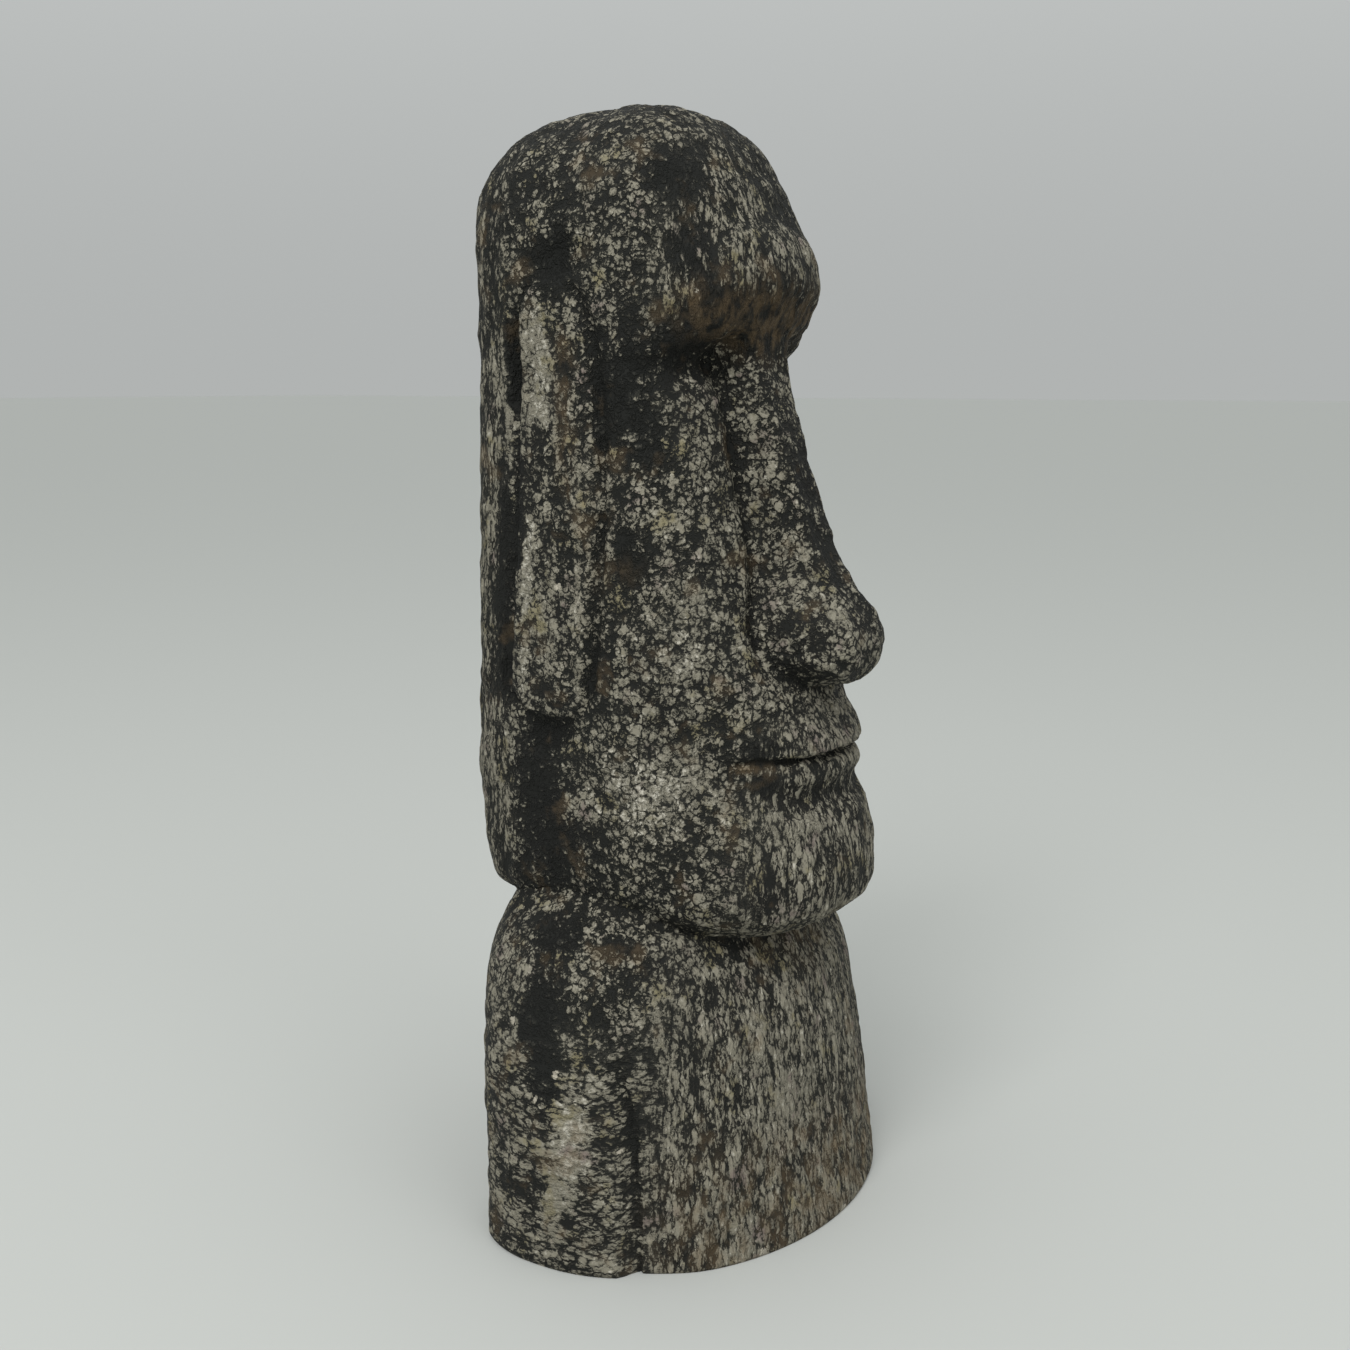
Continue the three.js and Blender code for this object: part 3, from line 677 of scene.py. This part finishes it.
# Which flakes are palest: random pale paint, plus the painted highlight on the lower cheek and jaw.
paleness_and_highlight = place.noise(GLINTS, 2.0, 0.6, seed=23.0) + 0.16 * painted("pale_and_highlight")
ochre_share = painted("ochre") * place.noise(OCHRE_SPOTS, 3.0, 0.6, (1, 1, 1.8), 29.0).above(0.38, 0.62)
stained = place.noise(STAINS, 3.0, 0.65, seed=31.0).above(0.56, 0.68)
base = (haze * 0.7).between(CHARCOAL, CHARCOAL_WORN)
base = (0.5 * ochre_share + 0.25 * stained).between(base, STAIN_OCHRE)
pale = (paleness_and_highlight.above(0.52, 0.80) * level.above(0.55, 0.66)).between(FLAKE_GREY, FLAKE_PALE)
pale = tint.above(0.55, 0.68).between(pale, FLAKE_OLIVE)
pale = tint.above(0.42, 0.30).between(pale, FLAKE_LILAC)
pale = (0.7 * ochre_share + 0.35 * stained).between(pale, STAIN_OCHRE)
thickness = 0.58 + 0.42 * level.above(0.54, 0.62)
color = (flake * thickness).between(base, pale)
chipped = (painted("chips") - 0.8 * place.noise(CHIP_EDGES, 3.0, 0.6)).above(0.0, 0.1)
color = (0.85 * chipped).between(color, BARE_CAST)
tree.links.new(color.socket, shader.inputs["Base Color"])
rough = 0.74 + 0.16 * flake
tree.links.new(rough.socket, shader.inputs["Roughness"])
grit = place.noise(GRIT, 2.0, 0.6, seed=5.0)
bump_height = height.above(0.42, 0.62) + 0.15 * grit
bump = brush.make("ShaderNodeBump", None, {"Strength": 1.0, "Distance": BUMP_DEPTH, "Height": bump_height})
tree.links.new(bump.socket, shader.inputs["Normal"])
shader.inputs["Specular IOR Level"].default_value = 0.2

chisel = statue.modifiers.new("chiselled_skin", "NODES")
chisel.node_group = relief
for item in relief.interface.items_tree:
    for name, _, value in inputs:
        if item.in_out == "INPUT" and item.name == name and value is not None:
            chisel[item.identifier] = value
        if item.in_out == "INPUT" and item.name == name == "Finish":
            chisel[item.identifier] = paint
bpy.context.view_layer.update()
graph = bpy.context.evaluated_depsgraph_get()
finished_mesh = bpy.data.meshes.new_from_object(
    statue.evaluated_get(graph), preserve_all_data_layers=True, depsgraph=graph
)
statue.modifiers.clear()
statue.data = finished_mesh
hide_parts("moai_casting")
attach(statue, "root")


# The studio: a plain pale floor, a large soft light high on the statue's right, and a weaker one ahead.
FLOOR_SIZE = 60
bpy.ops.mesh.primitive_plane_add(size=FLOOR_SIZE, location=(0, 0, 0))
floor = bpy.context.object
floor.name = "floor"
floor_paint = bpy.data.materials.new("pale_floor")
floor_paint.use_nodes = True
floor_paint.node_tree.nodes["Principled BSDF"].inputs["Base Color"].default_value = (0.50, 0.51, 0.49, 1)
floor_paint.node_tree.nodes["Principled BSDF"].inputs["Roughness"].default_value = 0.8
floor.data.materials.append(floor_paint)
floor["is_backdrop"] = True


def soft_light(name, azimuth, elevation, distance, size, watts):
    """A round light that faces the statue's middle from an azimuth and an elevation, in degrees."""
    lamp = bpy.data.lights.new(name, "AREA")
    lamp.shape, lamp.size, lamp.energy = "DISK", size, watts
    light = bpy.data.objects.new(name, lamp)
    a, e = math.radians(azimuth), math.radians(elevation)
    back = np.array([math.sin(a) * math.cos(e), -math.cos(a) * math.cos(e), math.sin(e)])
    light.location = back * distance + np.array([0, 0, HEIGHT / 2 * MM])
    light.rotation_euler = (math.pi / 2 - e, 0, a)
    bpy.context.scene.collection.objects.link(light)


soft_light("key", -80, 45, 2.2, 1.0, 25)
soft_light("front", -20, 35, 2.4, 1.6, 7)

world = bpy.data.worlds.new("studio")
world.use_nodes = True
air = Wire(world.node_tree)
direction = air.make("ShaderNodeTexCoord", output=0)
rise = air.make("ShaderNodeSeparateXYZ", None, {0: direction}, output=2)
sky = rise.above(0.0, 0.9).between((0.44, 0.455, 0.45, 1), (0.90, 0.93, 0.92, 1))
world.node_tree.links.new(sky.socket, world.node_tree.nodes["Background"].inputs["Color"])
world.node_tree.nodes["Background"].inputs["Strength"].default_value = 1.0
bpy.context.scene.world = world
bpy.context.scene.view_settings.view_transform = "Standard"

# The camera stands to the right of the face, at the height of the eyes, and looks a little down.
CAMERA_PLACE = (-0.548, -0.332, 0.3316)
CAMERA_TURN, CAMERA_PITCH = -58, 10.37
LENS, SENSOR_WIDTH = 42.67, 36
lens = bpy.data.cameras.new("camera")
lens.lens, lens.sensor_width = LENS, SENSOR_WIDTH
camera = bpy.data.objects.new("camera", lens)
camera.location = CAMERA_PLACE
camera.rotation_euler = (math.radians(90 - CAMERA_PITCH), 0, math.radians(CAMERA_TURN))
bpy.context.scene.collection.objects.link(camera)
bpy.context.scene.camera = camera

low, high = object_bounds()
